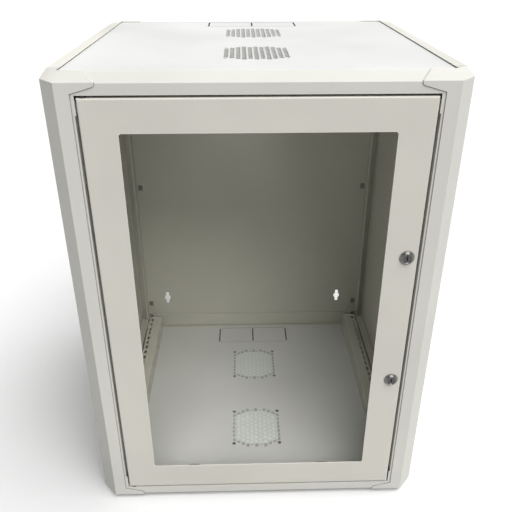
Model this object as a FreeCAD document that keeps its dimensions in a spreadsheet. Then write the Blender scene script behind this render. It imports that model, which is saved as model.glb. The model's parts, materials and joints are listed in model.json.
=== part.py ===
import FreeCAD, Part
import math
import os
import re
import Sketcher
from FreeCAD import Placement, Rotation, Vector

# A wall-mounted 19-inch rack cabinet with a glazed front door.
# Millimetres. The origin is the middle of the base, +Z is up and the door faces -Y.

SIZES = {
    # overall box and the folded outline
    "cabinet_width": 600.0,
    "cabinet_depth": 600.0,
    "cabinet_height": 800.0,
    "sheet_metal": 1.5,
    "corner_width": 25.0,
    "corner_depth": 28.0,
    "rim_height": 10.0,
    "rim_front": 33.0,
    "rim_side": 5.0,
    "rim_corner": 17.0,
    # corner posts and their ears
    "post_flange": 20.0,
    "post_reach": 57.0,
    "ear_length": 34.0,
    "ear_root": 25.0,
    "ear_tip": 15.0,
    "ear_slant": 19.0,
    "ear_radius": 3.5,
    # beams, roof and floor
    "beam_return": 25.0,
    "beam_end": 2.0,
    "beam_leg": 27.5,
    "rear_return": 24.5,
    "rear_rise": 42.5,
    "rear_lip": 34.5,
    "ledge": 10.0,
    "roof_drop": 2.0,
    "roof_edge": 25.0,
    "roof_groove": 3.0,
    "panel_gap": 1.0,
    "side_beam_drop": 45.0,
    "side_beam_lip": 18.0,
    "side_beam_lap": 3.0,
    "side_ledge": 46.0,
    # vents, fan screws and cable knock-outs
    "vent_front": 178.0,
    "vent_rear": 200.0,
    "vent_column": 9.5,
    "vent_pitch": 12.0,
    "vent_slot": 7.4,
    "fan_spacing": 97.0,
    "fan_hole": 4.5,
    "knockout_rear": 46.0,
    "knockout_length": 63.0,
    "knockout_width": 89.0,
    "knockout_slot": 2.5,
    "knockout_slit": 1.2,
    "knockout_tab": 5.0,
    # back panel
    "back_recess": 22.0,
    "back_margin": 16.0,
    "back_fold": 21.0,
    "keyhole_side": 71.0,
    "keyhole_end": 96.0,
    "keyhole_head": 15.5,
    "keyhole_slot": 8.0,
    "keyhole_length": 33.0,
    # door and its opening
    "door_side": 53.0,
    "door_end": 31.0,
    "door_depth": 18.0,
    "door_bend": 2.5,
    "side_gap": 4.5,
    "end_gap": 3.5,
    "leg_gap": 2.5,
    "door_stile": 52.0,
    "door_top_rail": 49.0,
    "window_radius": 4.0,
    "jamb_depth": 19.5,
    "jamb_lip": 18.5,
    "glass_lap": 14.0,
    "glass_thickness": 4.0,
    "gasket_width": 9.0,
    "gasket_thickness": 2.0,
    "clip_length": 20.0,
    "clip_tab": 9.0,
    "clip_foot": 12.0,
    "clip_gap": 2.0,
    "clip_spread": 230.0,
    "clip_pair": 240.0,
    # hinge
    "pivot_inset": 8.0,
    "pivot_behind": 6.0,
    "pin_diameter": 5.0,
    "pin_fit": 0.05,
    "pin_rise": 5.0,
    "hinge_block_width": 16.0,
    "hinge_block_depth": 10.0,
    "hinge_block_height": 28.0,
    "bush_diameter": 8.0,
    "bush_play": 0.3,
    # locks
    "lock_inset": 17.5,
    "lock_spacing": 240.0,
    "bezel_diameter": 22.5,
    "bezel_height": 2.0,
    "collar_diameter": 18.6,
    "collar_height": 2.0,
    "barrel_diameter": 19.0,
    "barrel_length": 17.0,
    "barrel_fit": 0.1,
    "plug_diameter": 14.0,
    "plug_fit": 0.06,
    "plug_recess": 0.6,
    "plug_tail": 8.0,
    "keyway_width": 1.8,
    "keyway_height": 8.0,
    "keyway_depth": 6.0,
    "nut_across": 24.0,
    "nut_height": 4.0,
    "cam_thickness": 2.0,
    "cam_width": 16.0,
    "cam_length": 36.0,
    "cam_gap": 0.8,
    "cam_screw_head": 10.0,
    # rails
    "rail_side": 74.6,
    "rail_hole_inset": 7.15,
    "rail_setback": 62.0,
    "rail_depth": 35.0,
    "rail_end": 12.0,
    "rack_unit": 44.45,
    "rail_hole": 9.5,
    "rail_slot": 14.0,
    "depth_rail_side": 53.0,
    "depth_rail_height": 40.0,
    "depth_rail_flange": 30.0,
    "depth_rail_slot": 20.0,
    "depth_rail_slot_height": 7.0,
    "depth_rail_pitch": 60.0,
}

# Places that several pieces share, worked out from the sizes.
PLACES = {
    "front": "-cabinet_depth / 2",
    "rear": "cabinet_depth / 2",
    "half_width": "cabinet_width / 2",
    "middle": "cabinet_height / 2",
    "seam": "half_width - corner_width - post_flange",
    "beam_half": "half_width - corner_width - beam_end",
    "beam_front": "front + sheet_metal",
    "beam_bottom": "middle + door_height / 2 + end_gap",
    "rim_break": "cabinet_height - rim_height",
    "front_slope": "rim_height / rim_front",
    "front_shift": "sheet_metal * sqrt(1 + front_slope ^ 2)",
    "beam_break": "rim_break - front_shift + sheet_metal * front_slope",
    "beam_crest": "cabinet_height - front_shift",
    "roof_top": "cabinet_height - roof_drop",
    "ledge_top": "roof_top - sheet_metal",
    "ledge_end": "front + rim_front + ledge",
    "roof_front": "front + rim_front + panel_gap",
    "roof_half": "half_width - roof_edge",
    "groove_half": "roof_half + roof_groove",
    "side_slope": "rim_side / rim_height",
    "side_shift": "sheet_metal * sqrt(1 + side_slope ^ 2)",
    "side_inner": "half_width - sheet_metal",
    "side_break": "rim_break + (sheet_metal - side_shift) / side_slope",
    "side_ledge_x": "half_width - side_shift - (ledge_top - rim_break) * side_slope",
    "floor_bottom": "cabinet_height - ledge_top + sheet_metal",
    "floor_top": "floor_bottom + sheet_metal",
    "back_face": "rear - back_recess",
    "back_top": "cabinet_height - rear_rise",
    "back_half": "half_width - back_margin",
    "door_width": "cabinet_width - 2 * door_side",
    "door_height": "cabinet_height - 2 * door_end",
    "door_half": "door_width / 2",
    "door_top": "middle + door_height / 2",
    "window_width": "door_width - 2 * door_stile",
    "window_height": "door_height - door_stile - door_top_rail",
    "window_middle": "middle + (door_stile - door_top_rail) / 2",
    "jamb_edge": "door_half + side_gap",
    "leg_edge": "door_half + leg_gap",
    "leg_end": "beam_bottom - beam_leg",
    "skin_back": "front + sheet_metal",
    "glass_front": "skin_back + gasket_thickness",
    "glass_back": "glass_front + glass_thickness",
    "pane_half": "window_width / 2 + glass_lap",
    "pane_tall": "window_height / 2 + glass_lap",
    "pivot_x": "-door_half + pivot_inset",
    "pivot_y": "front + pivot_behind",
    "lock_x": "door_half - lock_inset",
    "cam_front": "jamb_depth + cam_gap",
    "rail_edge": "half_width - rail_side",
    "rail_face": "front + rail_setback",
    "depth_rail_face": "half_width - depth_rail_side",
    "bolt_y": "rail_face + rail_depth / 2",
    "bolt_z": "floor_top + depth_rail_height / 2",
    "depth_rail_front": "ledge_end",
    "rail_middle": "(floor_top + ledge_top - sheet_metal) / 2",
}

doc = FreeCAD.newDocument("rack_cabinet")
sheet = doc.addObject("Spreadsheet::Sheet", "Size")
for row, (alias, number) in enumerate(SIZES.items(), start=1):
    sheet.set(f"A{row}", alias)
    sheet.set(f"B{row}", str(number))
    sheet.setAlias(f"B{row}", alias)
doc.recompute()

nodes = {}


def bound(expression):
    """Write an expression on named sizes and places as one on the sheet's cells."""
    def cell(match):
        word = match.group()
        if word in PLACES:
            return "(" + bound(PLACES[word]) + ")"
        return "Size." + word if word in SIZES else word
    return re.sub(r"[a-z_]+", cell, str(expression))


def value(expression):
    """The present length of an expression."""
    return float(sheet.evalExpression(bound(expression)))


def place(x, y, z):
    return Vector(value(x), value(y), value(z))


def node(label, item):
    """Name a finished sub-part, which names its file too."""
    item.Label = label
    nodes[label] = item
    return item


def tie(item, **properties):
    """Bind properties to expressions; two underscores stand for a dot."""
    for name, expression in properties.items():
        item.setExpression(name.replace("__", "."), bound(expression))


def draw(sketch, loops, closed=True):
    """Draw outlines of straight edges or circles with every size bound to the sheet."""
    def fix(kind, geometry, point, expression):
        index = sketch.addConstraint(Sketcher.Constraint(kind, geometry, point, value(expression)))
        tie(sketch, **{f"Constraints[{index}]": expression})

    for loop in loops:
        if isinstance(loop, dict):
            centre = place(loop["x"], loop["y"], 0)
            circle = Part.Circle(centre, Vector(0, 0, 1), value(loop["diameter"]) / 2)
            geometry = sketch.addGeometry(circle, False)
            fix("DistanceX", geometry, 3, loop["x"])
            fix("DistanceY", geometry, 3, loop["y"])
            index = sketch.addConstraint(Sketcher.Constraint("Diameter", geometry, value(loop["diameter"])))
            tie(sketch, **{f"Constraints[{index}]": loop["diameter"]})
            continue
        corners = [place(x, y, 0) for x, y in loop]
        ends = corners[1:] + corners[:1] if closed else corners[1:]
        first = sketch.GeometryCount
        for start, end in zip(corners, ends):
            sketch.addGeometry(Part.LineSegment(start, end), False)
        last = sketch.GeometryCount - 1
        for line in range(first, last):
            sketch.addConstraint(Sketcher.Constraint("Coincident", line, 2, line + 1, 1))
        if closed:
            sketch.addConstraint(Sketcher.Constraint("Coincident", last, 2, first, 1))
        for line, (x, y) in enumerate(loop, start=first):
            geometry, point = (line, 1) if line <= last else (last, 2)
            fix("DistanceX", geometry, point, x)
            fix("DistanceY", geometry, point, y)


# Sketch planes by the direction that their profile runs in. The plane of "y" faces the front,
# so there the sheet's thickness counts the other way round.
RUNS = {
    "x": Rotation(Vector(1, 1, 1), 120),
    "y": Rotation(Vector(1, 0, 0), 90),
    "z": Rotation(),
}


def folded(name, run, bends, length, start=None):
    """A sheet folded along bend lines: the sheet lies to the right of the line that is drawn."""
    sketch = doc.addObject("Sketcher::SketchObject", name + "_bends")
    draw(sketch, [bends], closed=False)
    sketch.Placement = Placement(Vector(), RUNS[run])
    wall = doc.addObject("Part::Offset2D", name + "_wall")
    wall.Source = sketch
    wall.Mode = "Skin"
    wall.Fill = True
    wall.Join = "Intersection"
    tie(wall, Value="-sheet_metal" if run == "y" else "sheet_metal")
    sheet_piece = doc.addObject("Part::Extrusion", name)
    sheet_piece.Base = wall
    sheet_piece.DirMode = "Normal"
    sheet_piece.Solid = True
    sheet_piece.Symmetric = start is None
    tie(sheet_piece, LengthFwd=length)
    if start is not None:
        tie(sketch, Placement__Base__z=start)
    return sheet_piece


def box(name, low, high):
    """A box between two corners."""
    item = doc.addObject("Part::Box", name)
    spans = [f"({b}) - ({a})" for a, b in zip(low, high)]
    tie(item, Length=spans[0], Width=spans[1], Height=spans[2])
    tie(item, Placement__Base__x=low[0], Placement__Base__y=low[1], Placement__Base__z=low[2])
    return item


def rod(name, centre, diameter, length, run="z"):
    """A round bar that runs up or towards the back."""
    item = doc.addObject("Part::Cylinder", name)
    tie(item, Radius=f"({diameter}) / 2", Height=length)
    item.Placement.Rotation = {"z": Rotation(), "y": Rotation(Vector(1, 0, 0), -90)}[run]
    tie(item, Placement__Base__x=centre[0], Placement__Base__y=centre[1], Placement__Base__z=centre[2])
    return item


def hexagon(name, centre, across, length):
    """A hexagon bar towards the back, such as a nut, given by the width across its flats."""
    item = doc.addObject("Part::Prism", name)
    item.Polygon = 6
    tie(item, Circumradius=f"({across}) / sqrt(3)", Height=length)
    item.Placement.Rotation = Rotation(Vector(1, 0, 0), -90)
    tie(item, Placement__Base__x=centre[0], Placement__Base__y=centre[1], Placement__Base__z=centre[2])
    return item


def cut(name, base, tool):
    item = doc.addObject("Part::Cut", name)
    item.Base = base
    item.Tool = tool
    return item


def fuse(name, *pieces):
    item = doc.addObject("Part::MultiFuse", name)
    item.Shapes = list(pieces)
    item.Refine = True
    return item


def group(name, pieces):
    """Pieces that stay separate solids in one node."""
    item = doc.addObject("Part::Compound", name)
    item.Links = list(pieces)
    return item


def mirrored(name, source, axis, level="middle"):
    """The same piece on the other side, at the rear, or as far above the level as it is below."""
    item = doc.addObject("Part::Mirroring", name)
    item.Source = source
    item.Normal = {"x": Vector(1, 0, 0), "y": Vector(0, 1, 0), "z": Vector(0, 0, 1)}[axis]
    tie(item, Base__z=level)
    return item


def shaped(name, shape):
    """A piece whose shape is worked out here."""
    item = doc.addObject("Part::Feature", name)
    item.Shape = shape
    return item


def polygon_face(points):
    return Part.Face(Part.makePolygon(points + points[:1]))


def outline_corner(inset):
    """The cabinet's front left corner above mid-height, as a solid bounded by the folded outline."""
    left = value("-half_width")
    front = value("front")
    top = value("cabinet_height")
    rim = value("rim_break")
    side_foot = Vector(left, front + value("corner_depth"), rim)
    front_foot = Vector(left + value("corner_width"), front, rim)
    front_crest = Vector(left + value("rim_side + rim_corner"), front + value("rim_front"), top)
    side_run = value("rim_corner * corner_depth / corner_width")
    side_crest = Vector(left + value("rim_side"), front + value("rim_front") + side_run, top)
    across = Vector(1, 0, 0)
    along = Vector(0, 1, 0)
    up = Vector(0, 0, 1)
    reach = value("cabinet_width")
    corner = Part.makeBox(reach / 2, reach / 2, top / 2, Vector(left, front, top / 2))
    faces = (
        (front_foot, across, up),
        (side_foot, along, up),
        (front_foot, side_foot - front_foot, up),
        (front_crest, across, along),
        (front_foot, across, front_crest - front_foot),
        (side_foot, along, side_crest - side_foot),
        (front_foot, side_foot - front_foot, front_crest - front_foot),
    )
    inside = Vector(0, 0, top / 2)
    for point, first, second in faces:
        outward = first.cross(second).normalize()
        if outward.dot(point - inside) < 0:
            outward = -outward
        beyond = Part.makeBox(4 * reach, 4 * reach, reach, Vector(-2 * reach, -2 * reach, 0))
        beyond.Placement = Placement(point - outward * inset, Rotation(up, outward))
        corner = corner.cut(beyond)
    return corner


def ear_outline():
    """The post's ear seen from the front: a rounded tongue that laps over the beam."""
    seam = value("seam")
    tip = value("seam - ear_length")
    top = value("cabinet_height")
    root = Vector(-seam, 0, top - value("ear_root"))
    nose_low = Vector(-tip, 0, top - value("ear_tip"))
    nose_high = Vector(-tip, 0, value("rim_break"))
    crest = Vector(value("-seam + ear_length - ear_slant"), 0, top)
    over = Vector(-seam, 0, top)
    wire = Part.makePolygon([root, nose_low, nose_high, crest, over, root])
    face = Part.Face(wire)
    nose = [v for v in face.Vertexes if v.Point.distanceToPoint(nose_low) < value("sheet_metal")]
    ear = face.extrude(Vector(0, value("rim_front"), 0))
    nose_edges = [e for e in ear.Edges if all(
        abs(v.X - nose[0].X) < value("sheet_metal") and abs(v.Z - nose[0].Z) < value("sheet_metal")
        for v in e.Vertexes)]
    return ear.makeFillet(value("ear_radius"), nose_edges)


def corner_post():
    """Folded post: front flange, chamfered facet and side flange, with an ear at each end."""
    skin = outline_corner(0).cut(outline_corner(value("sheet_metal")))
    upright = Part.makeBox(value("half_width - seam"), value("post_reach"), value("middle"),
                           place("-half_width", "front", "middle"))
    roof_bay = Part.makeBox(value("groove_half"), value("post_reach"), value("rim_height"),
                            place("-groove_half", "front + rim_front", "rim_break"))
    ear = ear_outline()
    ear.translate(Vector(0, value("front"), 0))
    upper = skin.common(upright.cut(roof_bay).fuse(ear))
    lower = upper.mirror(place(0, 0, "middle"), Vector(0, 0, 1))
    return upper.fuse(lower).removeSplitter()


def make_posts():
    post = node("front_left_post", shaped("front_left_post", corner_post()))
    node("front_right_post", mirrored("front_right_post", post, "x"))
    rear_post = node("rear_left_post", mirrored("rear_left_post", post, "y"))
    node("rear_right_post", mirrored("rear_right_post", rear_post, "x"))


def beam(name, inner_bends):
    """A beam from its inner edge: fascia, sloped rim and the ledge that carries the roof."""
    rim_bends = [
        ("beam_front", "beam_break"),
        ("front + rim_front", "beam_crest"),
        ("front + rim_front", "ledge_top"),
        ("ledge_end", "ledge_top"),
    ]
    return folded(name, "x", inner_bends + rim_bends, "2 * beam_half")


def make_beams():
    """Front beams with a lintel return and legs; rear beams with a return that carries the back panel."""
    fascia = beam("front_fascia", [
        ("beam_front + beam_return", "beam_bottom"),
        ("beam_front", "beam_bottom"),
    ])
    leg = box("beam_leg_left", ("-beam_half", "beam_front", "leg_end"),
              ("-leg_edge", "beam_front + sheet_metal", "beam_bottom"))
    front_top = fuse("front_top_solid", fascia, leg, mirrored("beam_leg_right", leg, "x"))
    hole = rod("pin_hole", ("pivot_x", "pivot_y", "beam_bottom - sheet_metal"),
               "pin_diameter + 2 * pin_fit", "3 * sheet_metal")
    front_top = node("front_top_beam", cut("front_top_beam", front_top, hole))
    node("front_bottom_beam", mirrored("front_bottom_beam", front_top, "z"))
    rear_fascia = beam("rear_fascia", [
        ("beam_front + rear_return", "back_top + rear_lip"),
        ("beam_front + rear_return", "back_top"),
        ("beam_front", "back_top"),
    ])
    rear_top = node("rear_top_beam", mirrored("rear_top_beam", rear_fascia, "y"))
    node("rear_bottom_beam", mirrored("rear_bottom_beam", rear_top, "z"))


def make_side_beams():
    """Side beams inside the side panel's folded rim, with their ends lapped behind the posts."""
    bends = [
        ("-side_inner + side_beam_lip", "ledge_top - side_beam_drop"),
        ("-side_inner", "ledge_top - side_beam_drop"),
        ("-side_inner", "side_break"),
        ("-side_ledge_x", "ledge_top"),
        ("-side_ledge_x + side_ledge", "ledge_top"),
    ]
    length = "cabinet_depth - 2 * (post_reach - side_beam_lap)"
    left = node("left_top_side_beam", folded("left_top_side_beam", "y", bends, length))
    node("right_top_side_beam", mirrored("right_top_side_beam", left, "x"))
    low = node("left_bottom_side_beam", mirrored("left_bottom_side_beam", left, "z"))
    node("right_bottom_side_beam", mirrored("right_bottom_side_beam", low, "x"))


def closed_wire(points):
    corners = [Vector(x, y, 0) for x, y in points]
    return Part.makePolygon(corners + corners[:1])


def vent_slots(centre_y):
    """Long hexagon slots side by side, the longest in the middle."""
    lengths = (7, 8, 9, 10, 9, 10, 9, 10, 9, 8, 7)
    pitch = value("vent_pitch")
    width = value("vent_slot / 2")
    point = width / math.sqrt(3)
    slots = []
    for column, length in enumerate(lengths):
        x = (column - (len(lengths) - 1) / 2) * value("vent_column")
        half = length * pitch / 2 - (pitch / 2 - width)
        side = half - point
        slots.append(closed_wire([
            (x, centre_y - half),
            (x + width, centre_y - side),
            (x + width, centre_y + side),
            (x, centre_y + half),
            (x - width, centre_y + side),
            (x - width, centre_y - side),
        ]))
    return slots


def fan_holes(centre_y):
    half = value("fan_spacing / 2")
    return [Part.Wire(Part.makeCircle(value("fan_hole / 2"), Vector(sx * half, centre_y + sy * half, 0)))
            for sx in (-1, 1) for sy in (-1, 1)]


def rectangle(low_x, low_y, high_x, high_y):
    return closed_wire([(low_x, low_y), (high_x, low_y), (high_x, high_y), (low_x, high_y)])


def knockout_slots():
    """Slots and slits round two cable knock-outs that hang on small tabs."""
    rear = value("rear - knockout_rear")
    front = rear - value("knockout_length")
    width = value("knockout_width")
    slot = value("knockout_slot / 2")
    slit = value("knockout_slit / 2")
    tab = value("knockout_tab")
    slots = [rectangle(x - slot, front + tab, x + slot, rear - tab) for x in (-width, 0, width)]
    slits = [rectangle(x + tab, y - slit, x + width - tab, y + slit)
             for x in (-width, 0) for y in (front, rear)]
    return slots + slits


def pierced_panel(bottom):
    """Roof and floor are the same flat pressing."""
    half = value("roof_half")
    front = value("roof_front")
    vents = [value("front + vent_front"), value("rear - vent_rear")]
    wires = [rectangle(-half, front, half, -front)] + knockout_slots()
    for centre_y in vents:
        wires += vent_slots(centre_y) + fan_holes(centre_y)
    face = Part.makeFace(wires, "Part::FaceMakerBullseye")
    panel = face.extrude(Vector(0, 0, value("sheet_metal")))
    panel.translate(Vector(0, 0, value(bottom)))
    return panel


def make_panels():
    node("roof_panel", shaped("roof_panel", pierced_panel("ledge_top")))
    node("floor_panel", shaped("floor_panel", pierced_panel("floor_bottom")))
    side_bends = [
        ("-groove_half", 0),
        ("-half_width + rim_side", 0),
        ("-half_width", "rim_height"),
        ("-half_width", "rim_break"),
        ("-half_width + rim_side", "cabinet_height"),
        ("-groove_half", "cabinet_height"),
    ]
    left = folded("left_side_panel", "y", side_bends, "cabinet_depth - 2 * post_reach - panel_gap")
    node("left_side_panel", left)
    node("right_side_panel", mirrored("right_side_panel", left, "x"))
    back_bends = [
        ("back_half", "back_face - back_fold"),
        ("back_half", "back_face"),
        ("-back_half", "back_face"),
        ("-back_half", "back_face - back_fold"),
    ]
    pan = folded("back_pan", "z", back_bends, "cabinet_height - 2 * rear_rise", start="rear_rise")
    node("back_panel", cut("back_panel", pan, shaped("keyholes", keyholes())))


def keyholes():
    """Wall-screw keyholes: a round head opening with a slot above and below it."""
    holes = []
    depth = value("4 * sheet_metal")
    slot = value("keyhole_slot")
    length = value("keyhole_length")
    for sx in (-1, 1):
        for sz in (-1, 1):
            x = sx * value("half_width - keyhole_side")
            z = value("middle") + sz * value("middle - keyhole_end")
            y = value("back_face - sheet_metal")
            head = Part.makeCylinder(value("keyhole_head / 2"), depth, Vector(x, y, z), Vector(0, 1, 0))
            neck = Part.makeBox(slot, depth, length, Vector(x - slot / 2, y, z - length / 2))
            holes.append(head.fuse(neck))
    return Part.makeCompound(holes)


def make_jambs():
    """Channels that frame the door opening; a lock's cam hooks behind their rear lip."""
    bends = [
        ("-jamb_edge - jamb_lip", "front + jamb_depth"),
        ("-jamb_edge", "front + jamb_depth"),
        ("-jamb_edge", "beam_front"),
        ("-beam_half", "beam_front"),
    ]
    left = folded("left_jamb", "z", bends, "2 * leg_end - cabinet_height", start="cabinet_height - leg_end")
    node("left_jamb", left)
    node("right_jamb", mirrored("right_jamb", left, "x"))


def make_depth_rails():
    """Channels from front to rear along the floor and under the roof, slotted for the rail bolts."""
    bends = [
        ("-depth_rail_face - depth_rail_flange", "floor_top + depth_rail_height"),
        ("-depth_rail_face", "floor_top + depth_rail_height"),
        ("-depth_rail_face", "floor_top"),
        ("-depth_rail_face - depth_rail_flange", "floor_top"),
    ]
    channel = folded("depth_channel", "y", bends, "-2 * depth_rail_front")
    slots = shaped("rail_slots", rail_slots())
    low = node("left_low_depth_rail", cut("left_low_depth_rail", channel, slots))
    node("right_low_depth_rail", mirrored("right_low_depth_rail", low, "x"))
    high = node("left_high_depth_rail", mirrored("left_high_depth_rail", low, "z", "rail_middle"))
    node("right_high_depth_rail", mirrored("right_high_depth_rail", high, "x"))


def rail_slots():
    """A row of slots; the first is where the mounting rail is bolted."""
    slot = value("depth_rail_slot")
    tall = value("depth_rail_slot_height")
    thick = value("4 * sheet_metal")
    pitch = value("depth_rail_pitch")
    room = value("-depth_rail_front - bolt_y - depth_rail_slot")
    start = place("-depth_rail_face - 2 * sheet_metal", "bolt_y", "bolt_z") - Vector(0, slot / 2, tall / 2)
    return Part.makeCompound([Part.makeBox(thick, slot, tall, start + Vector(0, pitch * k, 0))
                              for k in range(int(room / pitch) + 1)])


def rack_holes():
    """Square holes in groups of three to each rack unit, as many units as fit between the ends."""
    unit = value("rack_unit")
    side = value("rail_hole")
    units = int(value("rail_middle - floor_top - depth_rail_height") * 2 / unit)
    first = value("rail_middle") - units * unit / 2
    margin = unit / 7
    thick = value("4 * sheet_metal")
    corner = place("-rail_edge - rail_hole_inset - rail_hole / 2", "rail_face - sheet_metal", 0)
    steps = (margin, unit / 2, unit - margin)
    heights = [first + k * unit + step - side / 2 for k in range(units) for step in steps]
    return Part.makeCompound([Part.makeBox(side, thick, side, corner + Vector(0, 0, z)) for z in heights])


def make_mounting_rails():
    """19-inch angle rails, bolted to the depth rails through slots in their side flange."""
    bends = [
        ("-rail_edge", "rail_face"),
        ("-depth_rail_face", "rail_face"),
        ("-depth_rail_face", "rail_face + rail_depth"),
    ]
    height = "2 * (rail_middle - floor_top - rail_end)"
    angle = folded("rail_angle", "z", bends, height, start="floor_top + rail_end")
    pierced = cut("pierced_angle", angle, shaped("rack_holes", rack_holes()))
    slot_low = (
        "-depth_rail_face - 2 * sheet_metal",
        "bolt_y - rail_slot / 2",
        "bolt_z - depth_rail_slot_height / 2",
    )
    slot_high = (
        "-depth_rail_face + 2 * sheet_metal",
        "bolt_y + rail_slot / 2",
        "bolt_z + depth_rail_slot_height / 2",
    )
    slot = box("bolt_slot_low", slot_low, slot_high)
    slots = group("bolt_slots", [slot, mirrored("bolt_slot_high", slot, "z", "rail_middle")])
    left = node("left_mounting_rail", cut("left_mounting_rail", pierced, slots))
    node("right_mounting_rail", mirrored("right_mounting_rail", left, "x"))


def body_sketch(body, name, role, offset, loops):
    """A sketch on one of the body's own planes, moved along the plane's normal."""
    plane = [feature for feature in body.Origin.OriginFeatures if feature.Role == role][0]
    sketch = body.newObject("Sketcher::SketchObject", name)
    sketch.AttachmentSupport = [(plane, "")]
    sketch.MapMode = "FlatFace"
    tie(sketch, AttachmentOffset__Base__z=offset)
    draw(sketch, loops)
    doc.recompute()
    return sketch


def centred(width, height, middle):
    """The four corners of an upright rectangle about the cabinet's centre line."""
    left, right = f"-({width}) / 2", f"({width}) / 2"
    low, high = f"{middle} - ({height}) / 2", f"{middle} + ({height}) / 2"
    return [(left, low), (right, low), (right, high), (left, high)]


def pad(body, sketch, length, backwards):
    feature = body.newObject("PartDesign::Pad", sketch.Name + "_pad")
    feature.Profile = sketch
    feature.Reversed = backwards
    tie(feature, Length=length)
    doc.recompute()
    return feature


def pocket(body, sketch, length, backwards):
    """Cut the sketch's outline away, and make sure that it does remove metal."""
    before = body.Shape.Volume
    feature = body.newObject("PartDesign::Pocket", sketch.Name + "_pocket")
    feature.Profile = sketch
    feature.Reversed = backwards
    tie(feature, Length=length)
    doc.recompute()
    if body.Shape.Volume > before - 1e-6:
        raise RuntimeError(sketch.Name + " cuts nothing")
    return feature


def edges_along_y(shape, x, z):
    """Names of the edges that run from front to back at the given distances from the window's middle."""
    names = []
    for number, edge in enumerate(shape.Edges, start=1):
        middle = edge.CenterOfMass
        if abs(abs(middle.x) - x) < 1e-4 and abs(abs(middle.z - value("window_middle")) - z) < 1e-4:
            names.append(f"Edge{number}")
    return names


def make_door_frame():
    """Door pan: a folded skin with returns on all four sides, a window, lock holes and pin holes."""
    body = doc.addObject("PartDesign::Body", "door_frame")
    outline = body_sketch(body, "door_outline", "XZ_Plane", "-front",
                          [centred("door_width", "door_height", "middle")])
    block = pad(body, outline, "door_depth", True)
    rear_face = [f"Face{number}" for number, face in enumerate(block.Shape.Faces, start=1)
                 if abs(face.CenterOfMass.y - value("front + door_depth")) < 1e-6]
    pan = body.newObject("PartDesign::Thickness", "door_pan")
    pan.Base = (block, rear_face)
    pan.Reversed = True
    pan.Mode = "Skin"
    pan.Join = "Intersection"
    tie(pan, Value="sheet_metal")
    doc.recompute()
    front_edges = [f"Edge{number}" for number, edge in enumerate(pan.Shape.Edges, start=1)
                   if all(abs(v.Y - value("front")) < 1e-6 for v in edge.Vertexes)]
    bend = body.newObject("PartDesign::Fillet", "door_bend")
    bend.Base = (pan, front_edges)
    tie(bend, Radius="door_bend")
    doc.recompute()
    window = body_sketch(body, "window", "XZ_Plane", "-front",
                         [centred("window_width", "window_height", "window_middle")])
    opening = pocket(body, window, "door_depth", False)
    corners = body.newObject("PartDesign::Fillet", "window_corners")
    window_edges = edges_along_y(opening.Shape, value("window_width / 2"), value("window_height / 2"))
    corners.Base = (opening, window_edges)
    tie(corners, Radius="window_radius")
    doc.recompute()
    barrel_hole = "barrel_diameter + 2 * barrel_fit"
    holes = [{"x": "lock_x", "y": f"middle {side} lock_spacing / 2", "diameter": barrel_hole} for side in "-+"]
    pocket(body, body_sketch(body, "lock_holes", "XZ_Plane", "-front", holes), "door_depth", False)
    pin_hole = [{"x": "pivot_x", "y": "pivot_y", "diameter": "pin_diameter + 2 * pin_fit"}]
    pocket(body, body_sketch(body, "pin_holes", "XY_Plane", "middle - door_height / 2", pin_hole),
           "door_height", True)
    node("door_frame", body)


def ring(name, low_y, high_y, outer, inner):
    """A frame of flat strip round the window: outer and inner are half width and half height."""
    outside_low = (f"-({outer[0]})", low_y, f"window_middle - ({outer[1]})")
    outside_high = (outer[0], high_y, f"window_middle + {outer[1]}")
    outside = box(name + "_outside", outside_low, outside_high)
    hollow_low = (f"-({inner[0]})", f"{low_y} - sheet_metal", f"window_middle - ({inner[1]})")
    hollow_high = (inner[0], f"{high_y} + sheet_metal", f"window_middle + {inner[1]}")
    hollow = box(name + "_hollow", hollow_low, hollow_high)
    return cut(name, outside, hollow)


def make_glazing():
    """Glass pane on a rubber gasket, held against the door skin by clips."""
    node("door_glass", box("door_glass", ("-pane_half", "glass_front", "window_middle - pane_tall"),
                           ("pane_half", "glass_back", "window_middle + pane_tall")))
    inner = ("pane_half - gasket_width", "pane_tall - gasket_width")
    outer = ("pane_half", "pane_tall")
    node("glass_gasket", ring("glass_gasket", "skin_back", "glass_front", outer, inner))
    make_clips()


def clip_shape():
    """A stepped clip: foot on the door skin, riser beside the glass and tab on the glass."""
    gap = value("clip_gap")
    foot = gap + value("clip_foot")
    tab = value("clip_tab")
    sheet_metal = value("sheet_metal")
    rise = value("gasket_thickness + glass_thickness")
    step = gap + sheet_metal
    crown = rise + sheet_metal
    points = [(foot, 0), (foot, sheet_metal), (step, sheet_metal), (step, crown),
              (-tab, crown), (-tab, rise), (gap, rise), (gap, 0)]
    profile = polygon_face([Vector(x, y, 0) for x, y in points])
    clip = profile.extrude(Vector(0, 0, value("clip_length")))
    clip.translate(Vector(0, 0, -value("clip_length / 2")))
    return clip


def clip_places():
    """Three clips on each upright side of the pane and two above and below it."""
    half = value("pane_half")
    tall = value("pane_tall")
    y = value("skin_back")
    middle = value("window_middle")
    spread = value("clip_spread")
    pair = value("clip_pair / 2")
    places = []
    for z in (-spread, 0, spread):
        places.append(Placement(Vector(half, y, middle + z), Rotation()))
        places.append(Placement(Vector(-half, y, middle + z), Rotation(Vector(0, 1, 0), 180)))
    for x in (-pair, pair):
        places.append(Placement(Vector(x, y, middle + tall), Rotation(Vector(0, 1, 0), -90)))
        places.append(Placement(Vector(x, y, middle - tall), Rotation(Vector(0, 1, 0), 90)))
    return places


def make_clips():
    clip = clip_shape()
    copies = []
    for spot in clip_places():
        piece = clip.copy()
        piece.Placement = spot.multiply(piece.Placement)
        copies.append(piece)
    node("glass_clips", shaped("glass_clips", Part.makeCompound(copies)))


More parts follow.
